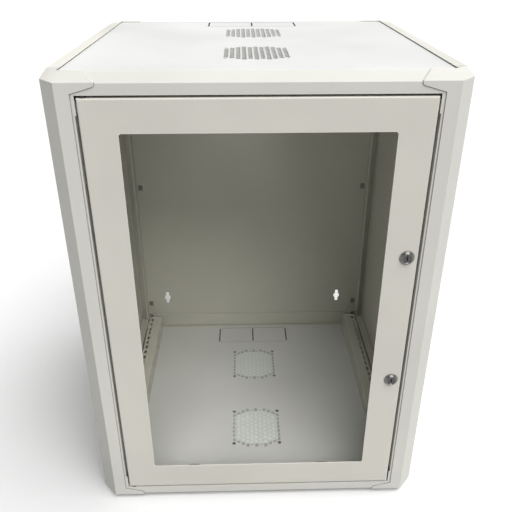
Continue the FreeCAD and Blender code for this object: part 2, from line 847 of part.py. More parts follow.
def make_hinges():
    """Pins in blocks inside the door's left corners, which turn in holes in the beams."""
    block_low = (
        "-door_half + sheet_metal",
        "skin_back",
        "door_top - sheet_metal - hinge_block_height",
    )
    block_high = (
        "-door_half + sheet_metal + hinge_block_width",
        "skin_back + hinge_block_depth",
        "door_top - sheet_metal",
    )
    block = box("hinge_block", block_low, block_high)
    bore = rod("hinge_bore", ("pivot_x", "pivot_y", "door_top - 2 * hinge_block_height"),
               "pin_diameter + 2 * pin_fit", "3 * hinge_block_height")
    top_block = node("top_hinge_block", cut("top_hinge_block", block, bore))
    node("bottom_hinge_block", mirrored("bottom_hinge_block", top_block, "z"))
    start = "door_top - sheet_metal - hinge_block_height"
    pin = rod("pin_shank", ("pivot_x", "pivot_y", start), "pin_diameter",
              f"beam_bottom + sheet_metal + pin_rise - ({start})")
    top_pin = node("top_hinge_pin", pin)
    node("bottom_hinge_pin", mirrored("bottom_hinge_pin", top_pin, "z"))
    washer = rod("bush_blank", ("pivot_x", "pivot_y", "door_top"), "bush_diameter", "end_gap - bush_play")
    hole = rod("bush_bore", ("pivot_x", "pivot_y", "door_top - end_gap"),
               "pin_diameter + 2 * pin_fit", "3 * end_gap")
    top_bush = node("top_hinge_bush", cut("top_hinge_bush", washer, hole))
    node("bottom_hinge_bush", mirrored("bottom_hinge_bush", top_bush, "z"))


def turned(name, profile):
    """A turned piece: its half profile, as radius and distance behind the door's front face."""
    body = doc.addObject("PartDesign::Body", name)
    sketch = body_sketch(body, name + "_profile", "XY_Plane", 0, [profile])
    turn = body.newObject("PartDesign::Revolution", name + "_turn")
    turn.Profile = sketch
    turn.ReferenceAxis = (sketch, ["V_Axis"])
    turn.Angle = 360
    doc.recompute()
    return body


def at_lock(item, height):
    """Set a piece that is drawn about its own axis at a lock's place on the door."""
    tie(item, Placement__Base__x="lock_x", Placement__Base__y="front", Placement__Base__z=height)


def make_lock(label, height):
    """Cam lock: stepped housing through the door, nut behind the skin, plug, cam and its screw."""
    collar = "-(bezel_height + collar_height)"
    bore = "plug_diameter / 2 + plug_fit"
    housing = turned(label + "_housing", [
        (bore, collar), ("collar_diameter / 2", collar), ("collar_diameter / 2", "-bezel_height"),
        ("bezel_diameter / 2", "-bezel_height"), ("bezel_diameter / 2", 0), ("barrel_diameter / 2", 0),
        ("barrel_diameter / 2", "barrel_length"), (bore, "barrel_length")])
    at_lock(housing, height)
    blank = hexagon(label + "_nut_blank", ("lock_x", "skin_back", height), "nut_across", "nut_height")
    hole = rod(label + "_nut_bore", ("lock_x", "skin_back - nut_height", height),
               "barrel_diameter + 2 * pin_fit", "3 * nut_height", run="y")
    make_plug(label, height)
    make_cam(label, height)
    return housing, cut(label + "_nut", blank, hole)


def make_locks():
    """Two locks on the door; the pieces that stay with the door are grouped."""
    upper_housing, upper_nut = make_lock("upper_lock", "middle + lock_spacing / 2")
    lower_housing, lower_nut = make_lock("lower_lock", "middle - lock_spacing / 2")
    node("lock_housings", group("lock_housings", [upper_housing, lower_housing]))
    node("lock_nuts", group("lock_nuts", [upper_nut, lower_nut]))


def make_plug(label, height):
    """Plug with a keyway in its face and a square tail that drives the cam."""
    face = "plug_recess - bezel_height - collar_height"
    plug = turned(label + "_plug", [(0, face), ("plug_diameter / 2", face),
                                    ("plug_diameter / 2", "cam_front"), (0, "cam_front")])
    square = centred("plug_tail", "plug_tail", "0")
    tail = body_sketch(plug, label + "_tail", "XZ_Plane", "-cam_front", [square])
    pad(plug, tail, "cam_thickness", True)
    keyway = body_sketch(plug, label + "_keyway", "XZ_Plane", f"-({face})",
                         [centred("keyway_width", "keyway_height", "0")])
    pocket(plug, keyway, "keyway_depth", False)
    at_lock(plug, height)
    node(label + "_plug", plug)


def make_cam(label, height):
    """Flat cam that hangs down when unlocked and turns behind the jamb's lip when locked."""
    cam = doc.addObject("PartDesign::Body", label + "_cam")
    half = "cam_width / 2"
    tip = "-cam_length"
    outline = [(f"-{half}", half), (half, half), (half, f"{tip} + {half}"), (f"{half} / 2", tip),
               (f"-{half} / 2", tip), (f"-{half}", f"{tip} + {half}")]
    square = centred("plug_tail + 2 * plug_fit", "plug_tail + 2 * plug_fit", "0")
    plate = body_sketch(cam, label + "_cam_outline", "XZ_Plane", "-cam_front", [outline, square])
    pad(cam, plate, "cam_thickness", True)
    at_lock(cam, height)
    node(label + "_cam", cam)
    screw_seat = ("lock_x", "front + cam_front + cam_thickness", height)
    screw = hexagon(label + "_cam_screw", screw_seat, "cam_screw_head", "2 * cam_thickness")
    node(label + "_cam_screw", screw)


def build():
    make_posts()
    make_beams()
    make_side_beams()
    make_panels()
    make_jambs()
    make_depth_rails()
    make_mounting_rails()
    make_door_frame()
    make_glazing()
    make_hinges()
    make_locks()
    doc.recompute()


def write_parts():
    """Write each sub-part once all of them are sound."""
    for item in doc.Objects:
        if "Invalid" in item.State or "Error" in item.State:
            raise RuntimeError(f"{item.Name} failed: {item.State}")
    for label, item in nodes.items():
        if item.Shape.isNull() or not item.Shape.isValid():
            raise RuntimeError(label + " has no sound shape")
    os.makedirs("parts", exist_ok=True)
    for label, item in nodes.items():
        item.Shape.exportStep(os.path.join("parts", label + ".step"))
    print(len(nodes), "parts written")


build()
write_parts()
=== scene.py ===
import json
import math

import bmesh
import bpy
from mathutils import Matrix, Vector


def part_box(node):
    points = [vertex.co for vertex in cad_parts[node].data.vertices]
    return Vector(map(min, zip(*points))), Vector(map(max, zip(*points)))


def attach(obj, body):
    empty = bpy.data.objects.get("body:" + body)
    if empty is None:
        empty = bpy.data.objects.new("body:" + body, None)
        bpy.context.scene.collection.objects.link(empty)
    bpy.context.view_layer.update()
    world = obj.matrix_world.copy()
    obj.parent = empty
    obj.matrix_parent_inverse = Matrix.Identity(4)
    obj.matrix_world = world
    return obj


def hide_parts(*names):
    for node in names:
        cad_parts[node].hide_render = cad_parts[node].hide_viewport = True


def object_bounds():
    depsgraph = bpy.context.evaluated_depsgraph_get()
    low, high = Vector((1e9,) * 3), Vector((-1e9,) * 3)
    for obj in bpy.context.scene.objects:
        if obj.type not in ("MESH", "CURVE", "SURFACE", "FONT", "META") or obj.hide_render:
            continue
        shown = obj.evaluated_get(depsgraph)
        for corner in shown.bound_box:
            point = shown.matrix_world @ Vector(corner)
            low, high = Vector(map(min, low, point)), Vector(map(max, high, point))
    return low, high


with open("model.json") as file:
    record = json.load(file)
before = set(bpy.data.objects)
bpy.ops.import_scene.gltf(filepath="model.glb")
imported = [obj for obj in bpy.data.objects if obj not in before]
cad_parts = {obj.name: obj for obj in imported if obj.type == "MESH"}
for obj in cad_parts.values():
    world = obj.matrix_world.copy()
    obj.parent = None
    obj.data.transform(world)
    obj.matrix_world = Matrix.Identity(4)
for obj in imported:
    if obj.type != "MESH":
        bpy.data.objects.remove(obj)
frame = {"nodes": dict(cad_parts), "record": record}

# %% [markdown]
# # A wall-mounted rack cabinet
# The cabinet is a box of folded steel sheet with a glazed door. The frame that was just loaded holds every
# folded sheet at its true size, so this lesson dresses those sheets and adds what is too fine for them:
# the pierced vents with their seals and covers, the slotted rails, the turned locks, the screws and bolts,
# the finishes, the light and the camera.

mm = 0.001
cad_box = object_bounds()
nodes = frame["nodes"]
print("sheets and fittings in the frame:", len(nodes))

# %% [markdown]
# ## Powder coat
# Powder coat is sprayed as dry powder and baked, which leaves a fine orange-peel skin. It could be painted
# as an image, but a noise on Object coordinates keeps its grain the same size on every sheet. A second,
# wide noise shifts the tone a little, as handling does. The coat is painted paler on its edges, partly as
# wear and partly as the highlight that a rounded edge catches, and painted darker where two surfaces meet,
# as the shade that falls there.


# %% Helpers for finishes
def new_finish(name, colour, roughness, metallic=0.0):
    """A material with its plain values on the shader's own sockets."""
    finish = bpy.data.materials.new(name)
    finish.use_nodes = True
    shader = finish.node_tree.nodes["Principled BSDF"]
    shader.inputs["Base Color"].default_value = (*colour, 1.0)
    shader.inputs["Roughness"].default_value = roughness
    shader.inputs["Metallic"].default_value = metallic
    return finish, finish.node_tree, shader


def noise(tree, scale, detail):
    """Noise on Object coordinates: scale counts grains to the metre."""
    where = tree.nodes.new("ShaderNodeTexCoord")
    grain = tree.nodes.new("ShaderNodeTexNoise")
    grain.inputs["Scale"].default_value = scale
    grain.inputs["Detail"].default_value = detail
    tree.links.new(where.outputs["Object"], grain.inputs["Vector"])
    return grain.outputs["Fac"]


def ramp(tree, factor, low, high, start=0.3, end=0.7):
    """Colours between two stops of a factor."""
    blend = tree.nodes.new("ShaderNodeValToRGB")
    blend.color_ramp.elements[0].position = start
    blend.color_ramp.elements[0].color = (*low, 1.0)
    blend.color_ramp.elements[1].position = end
    blend.color_ramp.elements[1].color = (*high, 1.0)
    tree.links.new(factor, blend.inputs["Fac"])
    return blend.outputs["Color"]


def spread(tree, factor, low, high, start=0.3, end=0.7):
    """A number that follows a factor between two of its values."""
    scale = tree.nodes.new("ShaderNodeMapRange")
    scale.inputs["From Min"].default_value = start
    scale.inputs["From Max"].default_value = end
    scale.inputs["To Min"].default_value = low
    scale.inputs["To Max"].default_value = high
    tree.links.new(factor, scale.inputs["Value"])
    return scale.outputs["Result"]


def relief(tree, shader, factor, depth, strength):
    """Raise the surface by a factor, as a bump of the given depth."""
    bump = tree.nodes.new("ShaderNodeBump")
    bump.inputs["Distance"].default_value = depth
    bump.inputs["Strength"].default_value = strength
    tree.links.new(factor, bump.inputs["Height"])
    tree.links.new(bump.outputs["Normal"], shader.inputs["Normal"])


def shade(colour, amount):
    """A paler or darker tone of a colour."""
    return tuple(channel * amount for channel in colour)


print("helpers ready")

# %% Edges and seams of a coat
# A Mix node keeps sockets for every kind of value: these are its factor and its colours.
near_rays = 4
mix_factor = 0
mix_first_colour = 6
mix_second_colour = 7
mixed_colour = 2


def near_surface(tree, reach, inside, start=0.5, end=0.93):
    """Fall from 1 to 0 where another surface is near, outside the sheet or inside it."""
    near = tree.nodes.new("ShaderNodeAmbientOcclusion")
    near.inputs["Distance"].default_value = reach
    near.samples = near_rays
    near.inside = inside
    return spread(tree, near.outputs["AO"], 0.0, 1.0, start, end)


def toned(tree, clean, other, factor):
    """The clean colour where the factor is 1, the other where it is 0."""
    blend = tree.nodes.new("ShaderNodeMix")
    blend.data_type = "RGBA"
    blend.inputs[mix_first_colour].default_value = (*other, 1.0)
    tree.links.new(factor, blend.inputs[mix_factor])
    tree.links.new(clean, blend.inputs[mix_second_colour])
    return blend.outputs[mixed_colour]


print("rays that look for a near surface:", near_rays)

# %% Powder coats for the cabinet and the door
handling_grain = 5.0
handled_tones = (0.955, 1.03)
handled_gloss = (0.42, 0.56)
# Edges are painted paler by this tone, partly wear and partly painted highlight; seams are painted darker
# within seam_reach, as painted shade.
wear_and_highlight_tone = 1.22
wear_and_highlight_reach = 1.0 * mm
seam_reach = 2.5 * mm
peel_grain = 900.0
peel_depth = 0.06 * mm
peel_strength = 0.35


def powder_coat(name, colour, seam_shade=0.2, reach=seam_reach, start=0.5, end=0.93):
    """Grained paint with a shifting tone, edges painted paler as wear and highlight, and painted shade in its
    seams.
    """
    finish, tree, shader = new_finish(name, colour, 0.5)
    handled = noise(tree, handling_grain, 5.0)
    tone = ramp(tree, handled, *(shade(colour, amount) for amount in handled_tones))
    # Painted highlight and wear: the coat is paler on convex edges, where rays into the sheet soon meet its
    # other side.
    worn_and_lit = toned(tree, tone, shade(colour, wear_and_highlight_tone), near_surface(tree, wear_and_highlight_reach, True))
    # Painted shade: the coat is darker where another surface is near, in seams, creases and the walls of
    # holes.
    seam_shaded = toned(tree, worn_and_lit, shade(colour, seam_shade), near_surface(tree, reach, False, start, end))
    tree.links.new(seam_shaded, shader.inputs["Base Color"])
    tree.links.new(spread(tree, handled, *handled_gloss), shader.inputs["Roughness"])
    relief(tree, shader, noise(tree, peel_grain, 3.0), peel_depth, peel_strength)
    shader.inputs["Specular IOR Level"].default_value = 0.45
    return finish


cabinet_grey = (0.605, 0.598, 0.555)
door_grey = (0.603, 0.584, 0.53)
roof_grey = (0.70, 0.703, 0.69)
# Painted light: the floor is the roof's pressing but takes a paler, cooler grey, which makes up for the light
# that reaches it inside through the tinted pane.
floor_grey = (0.73, 0.743, 0.756)
panel_grey = (0.695, 0.687, 0.628)
cover_grey = (0.83, 0.885, 0.885)
cabinet_coat = powder_coat("cabinet_powder_coat", cabinet_grey)
door_coat = powder_coat("door_powder_coat", door_grey)
# Painted shade per coat: the third number sets how dark seams are painted, the rest how far it reaches. The
# walls of the roof's holes are painted near black, for the shade under the roof.
roof_coat = powder_coat("roof_powder_coat", roof_grey, 0.12, 14.0 * mm, 0.5, 0.86)
floor_coat = powder_coat("floor_powder_coat", floor_grey, 0.85, 6.0 * mm, 0.3, 0.65)
panel_coat = powder_coat("panel_powder_coat", panel_grey, 0.8)
# Painted light: the rear posts take a paler copy of the panel coat, with lighter painted shade, because they
# stand in deep shade inside.
rear_coat = powder_coat("rear_powder_coat", shade(panel_grey, 1.1), 0.4)
cover_coat = powder_coat("cover_powder_coat", cover_grey, 0.95)
coats = (cabinet_coat, door_coat, roof_coat, floor_coat, panel_coat, rear_coat, cover_coat)
print("powder coats:", [coat.name for coat in coats])

# %% [markdown]
# ## Bare metals
# The mounting rails are galvanised, the bolts zinc plated, the lock's bezel chromed, and its plug and the
# small screws left dark. Each could have its own shader, but all of them are a metal whose tone and gloss
# are a little cloudy. So one recipe makes them, with a colour, a roughness and a size of cloud for each.

# %% Plated and dark metals
cloud_tones = (0.85, 1.1)
cloud_gloss = (-0.08, 0.1)
pit_grain = 1500.0
pit_depth = 0.02 * mm
pit_strength = 0.2


def cloudy_metal(name, colour, roughness, cloud_grain):
    """A metal with a cloudy pattern in its tone and gloss, and fine pits."""
    finish, tree, shader = new_finish(name, colour, roughness, 1.0)
    cloud = noise(tree, cloud_grain, 4.0)
    tone = ramp(tree, cloud, *(shade(colour, amount) for amount in cloud_tones))
    gloss = spread(tree, cloud, *(roughness + change for change in cloud_gloss))
    tree.links.new(tone, shader.inputs["Base Color"])
    tree.links.new(gloss, shader.inputs["Roughness"])
    relief(tree, shader, noise(tree, pit_grain, 2.0), pit_depth, pit_strength)
    return finish


rail_zinc = cloudy_metal("galvanised_rail", (0.60, 0.61, 0.60), 0.4, 160.0)
fastener_zinc = cloudy_metal("zinc_fastener", (0.62, 0.62, 0.59), 0.3, 400.0)
# Painted reflection: the chrome is toned dark, as it would look mirroring a dark room.
lock_chrome = cloudy_metal("chrome_bezel", (0.29, 0.29, 0.285), 0.15, 700.0)
lock_steel = cloudy_metal("dull_lock_face", (0.16, 0.16, 0.155), 0.4, 900.0)
blackened_steel = cloudy_metal("blackened_steel", (0.36, 0.36, 0.345), 0.5, 500.0)
metals = (rail_zinc, fastener_zinc, lock_chrome, lock_steel, blackened_steel)
print("metals:", [metal.name for metal in metals])

# %% [markdown]
# ## Glass
# The pane is 4 mm safety glass with a faint tint. A solid refracting glass would need many light paths to
# light the inside, so the pane lets light straight through with its tint, and mirrors a little of the room
# at a slant. That is how a flat pane looks, and the inside stays clear.

# %% Tinted pane
mirror_power = 3.5


def tinted_pane(name, tint):
    """Clear glass that mirrors more the more it is seen from the side."""
    finish = bpy.data.materials.new(name)
    finish.use_nodes = True
    tree = finish.node_tree
    tree.nodes.clear()
    clear = tree.nodes.new("ShaderNodeBsdfTransparent")
    clear.inputs["Color"].default_value = (*tint, 1.0)
    mirror = tree.nodes.new("ShaderNodeBsdfGlossy")
    mirror.inputs["Roughness"].default_value = 0.02
    slant = tree.nodes.new("ShaderNodeLayerWeight")
    slant.inputs["Blend"].default_value = 0.5
    gloss = tree.nodes.new("ShaderNodeMath")
    gloss.operation = "POWER"
    gloss.inputs[1].default_value = mirror_power
    blend = tree.nodes.new("ShaderNodeMixShader")
    out = tree.nodes.new("ShaderNodeOutputMaterial")
    tree.links.new(slant.outputs["Facing"], gloss.inputs[0])
    tree.links.new(gloss.outputs["Value"], blend.inputs["Fac"])
    tree.links.new(clear.outputs["BSDF"], blend.inputs[1])
    tree.links.new(mirror.outputs["BSDF"], blend.inputs[2])
    tree.links.new(blend.outputs["Shader"], out.inputs["Surface"])
    return finish


pane_glass = tinted_pane("tinted_pane", (0.985, 0.982, 0.96))
print("glass:", pane_glass.name)

# %% [markdown]
# ## Rubber, nylon and foam
# The gasket round the pane is black rubber, the hinge bushes are black nylon, and grey foam seals the covers,
# grey as painted shade at the vents' border.
# A plain colour would do from afar, but a cloudy tone and a fine grain make them look moulded close by.

# %% Mouldings
mould_tones = (0.8, 1.15)
mould_grain = 1200.0
mould_depth = 0.05 * mm
mould_strength = 0.3


def moulded(name, colour, roughness, cloud_grain):
    """A soft plastic or rubber with a cloudy tone and a fine grain."""
    finish, tree, shader = new_finish(name, colour, roughness)
    cloud = noise(tree, cloud_grain, 4.0)
    tone = ramp(tree, cloud, *(shade(colour, amount) for amount in mould_tones))
    tree.links.new(tone, shader.inputs["Base Color"])
    relief(tree, shader, noise(tree, mould_grain, 2.0), mould_depth, mould_strength)
    return finish


gasket_rubber = moulded("black_gasket", (0.02, 0.02, 0.02), 0.65, 250.0)
bush_nylon = moulded("black_nylon", (0.03, 0.03, 0.03), 0.45, 300.0)
shade_grey_foam = moulded("shade_grey_foam", (0.46, 0.475, 0.46), 0.8, 300.0)
print("mouldings:", gasket_rubber.name, bush_nylon.name, shade_grey_foam.name)

# %% [markdown]
# ## Dressing the frame
# Each node of the frame has a material slot in its record, so a table from slot to finish dresses them all.
# The sheets that show on the inside take a paler coat instead, because less light reaches them.

# %% Each sheet and fitting gets its finish
finish_of_slot = {
    "cabinet_paint": cabinet_coat,
    "door_paint": door_coat,
    "tinted_glass": pane_glass,
    "gasket_rubber": gasket_rubber,
    "lock_chrome": lock_chrome,
    "lock_steel": lock_steel,
    "fastener_zinc": fastener_zinc,
    "rail_zinc": rail_zinc,
    "bush_nylon": bush_nylon,
}
slot_of = {subpart["node"]: subpart["material_slot"] for subpart in frame["record"]["subparts"]}
finish_of_node = {node: finish_of_slot[slot] for node, slot in slot_of.items()}
for node in ("back_panel", "left_side_panel", "right_side_panel", "rear_top_beam", "rear_bottom_beam"):
    finish_of_node[node] = panel_coat
for node in ("rear_left_post", "rear_right_post"):
    finish_of_node[node] = rear_coat
for node, finish in finish_of_node.items():
    nodes[node].material_slots[0].material = finish
print("finished:", len(finish_of_node))

# %% [markdown]
# ## Bends and edges
# A folded sheet has no knife edges: each bend has a radius and each cut edge is broken by the coat. The
# edges could be rounded by hand on a copy, but a Weld and a Bevel modifier do it on the frame's own sheet
# without touching its mesh, and Weighted Normal keeps the flats flat.

# %% Soften the folded sheets
edge_radius = 0.25 * mm
edge_segments = 2
bend_angle = 25.0
weld_distance = 0.01 * mm


def soften(name):
    """Round every sharp edge of one of the frame's nodes."""
    sheet = nodes[name]
    weld = sheet.modifiers.new("weld", "WELD")
    weld.merge_threshold = weld_distance
    bevel = sheet.modifiers.new("bends", "BEVEL")
    bevel.width = edge_radius
    bevel.segments = edge_segments
    bevel.limit_method = "ANGLE"
    bevel.angle_limit = math.radians(bend_angle)
    flats = sheet.modifiers.new("flats", "WEIGHTED_NORMAL")
    flats.keep_sharp = False


folded_words = ("post", "beam", "side_panel", "jamb", "hinge_block", "clips", "cam")
softened = [name for name in nodes if any(word in name for word in folded_words)]
for name in softened:
    soften(name)
print("softened:", len(softened))

# %% [markdown]
# ## Pierced roof and floor
# Roof and floor are the same pressing. A punch makes two honeycomb vents in it, the screw holes for a fan
# about each vent, and two cable knock-outs that hang on small tabs. The honeycomb could be cut by Booleans,
# but one cell, copied in staggered columns and merged, gives clean edges. The rest of the sheet is then
# filled between the outline and the openings, and a Solidify modifier gives it its thickness.

# %% Helpers for new pieces
up = Vector((0.0, 0.0, 1.0))


def new_piece(name, mesh, finish, body):
    """Turn a bmesh into a piece at the origin that rides on a body."""
    data = bpy.data.meshes.new(name)
    mesh.to_mesh(data)
    mesh.free()
    data.materials.append(finish)
    piece = bpy.data.objects.new(name, data)
    bpy.context.collection.objects.link(piece)
    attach(piece, body)
    return piece


def move(mesh, vertices, place):
    """Shift some of a mesh's vertices."""
    bmesh.ops.translate(mesh, verts=vertices, vec=place)


def fill_level(mesh, edges):
    """Fill a level sheet between its outline and its openings."""
    bmesh.ops.triangle_fill(mesh, use_beauty=True, use_dissolve=False, edges=edges, normal=up)


def face_up(mesh):
    """Turn all faces of a level sheet upwards."""
    bmesh.ops.recalc_face_normals(mesh, faces=mesh.faces[:])
    if mesh.faces[0].normal.z < 0:
        bmesh.ops.reverse_faces(mesh, faces=mesh.faces[:])


def thicken(piece, thickness, even=False):
    """Give a flat piece its thickness, behind the faces that it has."""
    wall = piece.modifiers.new("sheet", "SOLIDIFY")
    wall.thickness = thickness
    wall.offset = -1.0
    wall.use_even_offset = even


print("helpers for pieces ready")

# %% One honeycomb vent
vent_columns = (7, 8, 9, 10, 9, 10, 9, 10, 9, 8, 7)
vent_pitch = 12.0 * mm
vent_column = 9.5 * mm
vent_web = 1.0 * mm
vent_narrow = 0.82
cell_radius = vent_pitch / math.sqrt(3)
cell_squeeze = vent_column / (vent_pitch * math.sqrt(3) / 2)


def honeycomb_cell(mesh, hole_edge):
    """A ring of six faces, the web round one hole, with the hole's edges marked."""
    ring = bmesh.ops.create_circle(mesh, cap_ends=True, segments=6, radius=cell_radius)["verts"]
    bmesh.ops.rotate(mesh, verts=ring, matrix=Matrix.Rotation(math.radians(30), 3, "Z"))
    hole = ring[0].link_faces[0]
    bmesh.ops.inset_region(mesh, faces=[hole], thickness=vent_web / 2, use_boundary=True,
                           use_even_offset=True)
    bmesh.ops.scale(mesh, verts=hole.verts[:], vec=(vent_narrow, 1.0, 1.0))
    for edge in hole.edges:
        edge[hole_edge] = 1
    corners = list({corner for inner in hole.verts for face in inner.link_faces for corner in face.verts})
    bmesh.ops.delete(mesh, geom=[hole], context="FACES_ONLY")
    bmesh.ops.scale(mesh, verts=corners, vec=(cell_squeeze, 1.0, 1.0))
    return corners


def honeycomb_vent(mesh, centre, hole_edge):
    """Copy one cell to its places in staggered columns."""
    corners = honeycomb_cell(mesh, hole_edge)
    faces = list({face for corner in corners for face in corner.link_faces})
    for column, holes in enumerate(vent_columns):
        x = (column - (len(vent_columns) - 1) / 2) * vent_column
        for row in range(holes):
            y = (row - (holes - 1) / 2) * vent_pitch
            copy = bmesh.ops.duplicate(mesh, geom=corners + faces)["geom"]
            copied = [item for item in copy if isinstance(item, bmesh.types.BMVert)]
            move(mesh, copied, centre + Vector((x, y, 0.0)))
    bmesh.ops.delete(mesh, geom=corners, context="VERTS")


print("holes in a vent:", sum(vent_columns))


# %% Outlines without a face
def rectangle(mesh, low, high, z):
    """Four edges at a height, between two corners."""
    ring = bmesh.ops.create_circle(mesh, cap_ends=False, segments=4, radius=math.sqrt(0.5))["verts"]
    bmesh.ops.rotate(mesh, verts=ring, matrix=Matrix.Rotation(math.radians(45), 3, "Z"))
    bmesh.ops.scale(mesh, verts=ring, vec=(high[0] - low[0], high[1] - low[1], 1.0))
    move(mesh, ring, ((low[0] + high[0]) / 2, (low[1] + high[1]) / 2, z))


def round_hole(mesh, centre, diameter):
    """The rim of a screw hole."""
    ring = bmesh.ops.create_circle(mesh, cap_ends=False, segments=20, radius=diameter / 2)["verts"]
    move(mesh, ring, centre)


print("outlines ready")

# %% Screw holes and knock-outs
vent_places = (-122.0 * mm, 100.0 * mm)
fan_spacing = 97.0 * mm
fan_hole = 4.5 * mm
knockout_rear = 258.0 * mm
knockout_length = 64.0 * mm
knockout_front = knockout_rear - knockout_length
knockout_width = 89.0 * mm
knockout_slot = 3.2 * mm
knockout_slits = (2.0 * mm, 3.0 * mm)
knockout_tab = 2.0 * mm
knockout_sides = (-knockout_width, 0.0, knockout_width)


def fan_corners(vent_place, z):
    """The four screw places of a fan about a vent."""
    half = fan_spacing / 2
    return [Vector((x, vent_place + y, z)) for x in (-half, half) for y in (-half, half)]


def knockouts(mesh, z):
    """Three short slots and four long slits round two blanks."""
    for x in knockout_sides:
        rectangle(mesh, (x - knockout_slot / 2, knockout_front + knockout_tab),
                  (x + knockout_slot / 2, knockout_rear - knockout_tab), z)
    for x in knockout_sides[:2]:
        for y, slit in zip((knockout_front, knockout_rear), knockout_slits):
            rectangle(mesh, (x + knockout_tab, y - slit / 2),
                      (x + knockout_width - knockout_tab, y + slit / 2), z)


print("vents at", [round(y / mm) for y in vent_places], "mm from the middle")

# %% Fill the sheet and give it its thickness
rim_lap = Vector((2.6 * mm, 0.0, 0.0))
vent_merge = 0.05 * mm


def pierced_sheet(name, node, finish):
    """The pressing in place of one of the frame's nodes; its sides reach under the side beams' rims."""
    low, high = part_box(node)
    mesh = bmesh.new()
    hole_edge = mesh.edges.layers.int.new("hole_edge")
    for y in vent_places:
        honeycomb_vent(mesh, Vector((0.0, y, high.z)), hole_edge)
    bmesh.ops.remove_doubles(mesh, verts=mesh.verts[:], dist=vent_merge)
    rectangle(mesh, low - rim_lap, high + rim_lap, high.z)
    knockouts(mesh, high.z)
    for y in vent_places:
        for place in fan_corners(y, high.z):
            round_hole(mesh, place, fan_hole)
    fill_level(mesh, [edge for edge in mesh.edges
                      if edge.is_wire or (edge.is_boundary and edge[hole_edge] == 0)])
    face_up(mesh)
    sheet = new_piece(name, mesh, finish, "cabinet")
    thicken(sheet, high.z - low.z)
    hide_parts(node)
    return sheet


pierced_roof = pierced_sheet("pierced_roof", "roof_panel", roof_coat)
pierced_floor = pierced_sheet("pierced_floor", "floor_panel", floor_coat)
print("faces of roof and floor:", len(pierced_roof.data.polygons), len(pierced_floor.data.polygons))

# %% [markdown]
# ## Dark strips behind the knock-outs
# Thin black strips are stuck behind the knock-out slots. They are painted shade: they keep the slots as dark
# as the shade behind them. Each strip is a flat box with broken edges, made from a cube that is scaled to its
# slot and bevelled.

# %% Strips of painted shade under the roof and under the floor
shade_strip_height = 1.2 * mm
shade_strip_margin = 3.0 * mm
shade_strip_edge = 0.2 * mm


def block(mesh, low, high, edge):
    """A box between two corners, with broken edges."""
    corners = bmesh.ops.create_cube(mesh, size=1.0)["verts"]
    bmesh.ops.scale(mesh, verts=corners, vec=high - low)
    move(mesh, corners, (low + high) / 2)
    rims = list({rim for corner in corners for rim in corner.link_edges})
    bmesh.ops.bevel(mesh, geom=rims, offset=edge, offset_type="OFFSET", segments=2, profile=0.5,
                    affect="EDGES", material=-1)


shade_strips = bmesh.new()
for node in ("roof_panel", "floor_panel"):
    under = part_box(node)[0].z
    for x in knockout_sides:
        block(shade_strips, Vector((x - shade_strip_margin, knockout_front + shade_strip_margin, under - shade_strip_height)),
              Vector((x + shade_strip_margin, knockout_rear - shade_strip_margin, under)), shade_strip_edge)
    for y in (knockout_front, knockout_rear):
        block(shade_strips, Vector((-knockout_width - shade_strip_margin, y - shade_strip_margin, under - shade_strip_height)),
              Vector((knockout_width + shade_strip_margin, y + shade_strip_margin, under)), shade_strip_edge)
knockout_shade_strips = new_piece("knockout_shade_strips", shade_strips, gasket_rubber, "cabinet")
print("faces of the foam strips:", len(knockout_shade_strips.data.polygons))

# %% [markdown]
# ## Covers under the floor's vents
# The roof's vents stay open, but a pale plate closes each vent of the floor until a fan is fitted there. It
# hangs on the fan's four screws with a ring of grey foam between. The ring is painted shade: it shows through
# the outer holes as the dark border that shade would give each vent. The plate is a thin box with broken
# edges.
# The ring is filled between two outlines and thickened.

# %% Two cover plates
cover_half = Vector((56.0 * mm, 66.0 * mm, 0.75 * mm))
plate_edge = 0.3 * mm
foam_height = 1.0 * mm
floor_under, floor_top = (corner.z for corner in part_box("floor_panel"))
covers = bmesh.new()
for y in vent_places:
    middle = Vector((0.0, y, floor_under - foam_height - cover_half.z))
    block(covers, middle - cover_half, middle + cover_half, plate_edge)
new_piece("vent_covers", covers, cover_coat, "cabinet")
print("vent covers:", len(vent_places))

# %% Foam rings on the plates, grey as painted shade
ring_side = 46.5 * mm
ring_flat = 20.0 * mm
ring_rear = (37.0 * mm, 52.0 * mm)
ring_front = (-35.5 * mm, -49.0 * mm)
ring_opening = (
    (ring_side, ring_rear[0]), (ring_flat, ring_rear[1]),
    (-ring_flat, ring_rear[1]), (-ring_side, ring_rear[0]),
    (-ring_side, ring_front[0]), (-ring_flat, ring_front[1]),
    (ring_flat, ring_front[1]), (ring_side, ring_front[0]),
)
rings = bmesh.new()
for vent_place in vent_places:
    rectangle(rings, (-cover_half.x, vent_place - cover_half.y),
              (cover_half.x, vent_place + cover_half.y), floor_under)
    corners = [rings.verts.new((x, vent_place + y, floor_under)) for x, y in ring_opening]
    for start, end in zip(corners, corners[1:] + corners[:1]):
        rings.edges.new((start, end))
fill_level(rings, rings.edges[:])
face_up(rings)
cover_shade_rings = new_piece("cover_shade_rings", rings, shade_grey_foam, "cabinet")
thicken(cover_shade_rings, foam_height)
print("foam rings:", len(vent_places))

# %% [markdown]
# ## Slotted depth rails
# The mounting rails hang on four channels that run from front to rear. Their webs have long slots for the
# bolts, and a row of short slots for cable ties runs along the flange. Each channel is one strip, punched
# flat and then folded: here three pierced strips are filled, stood up, merged at the folds and thickened.

# %% One pierced strip
sheet_metal = 1.5 * mm
fold_merge = 0.01 * mm


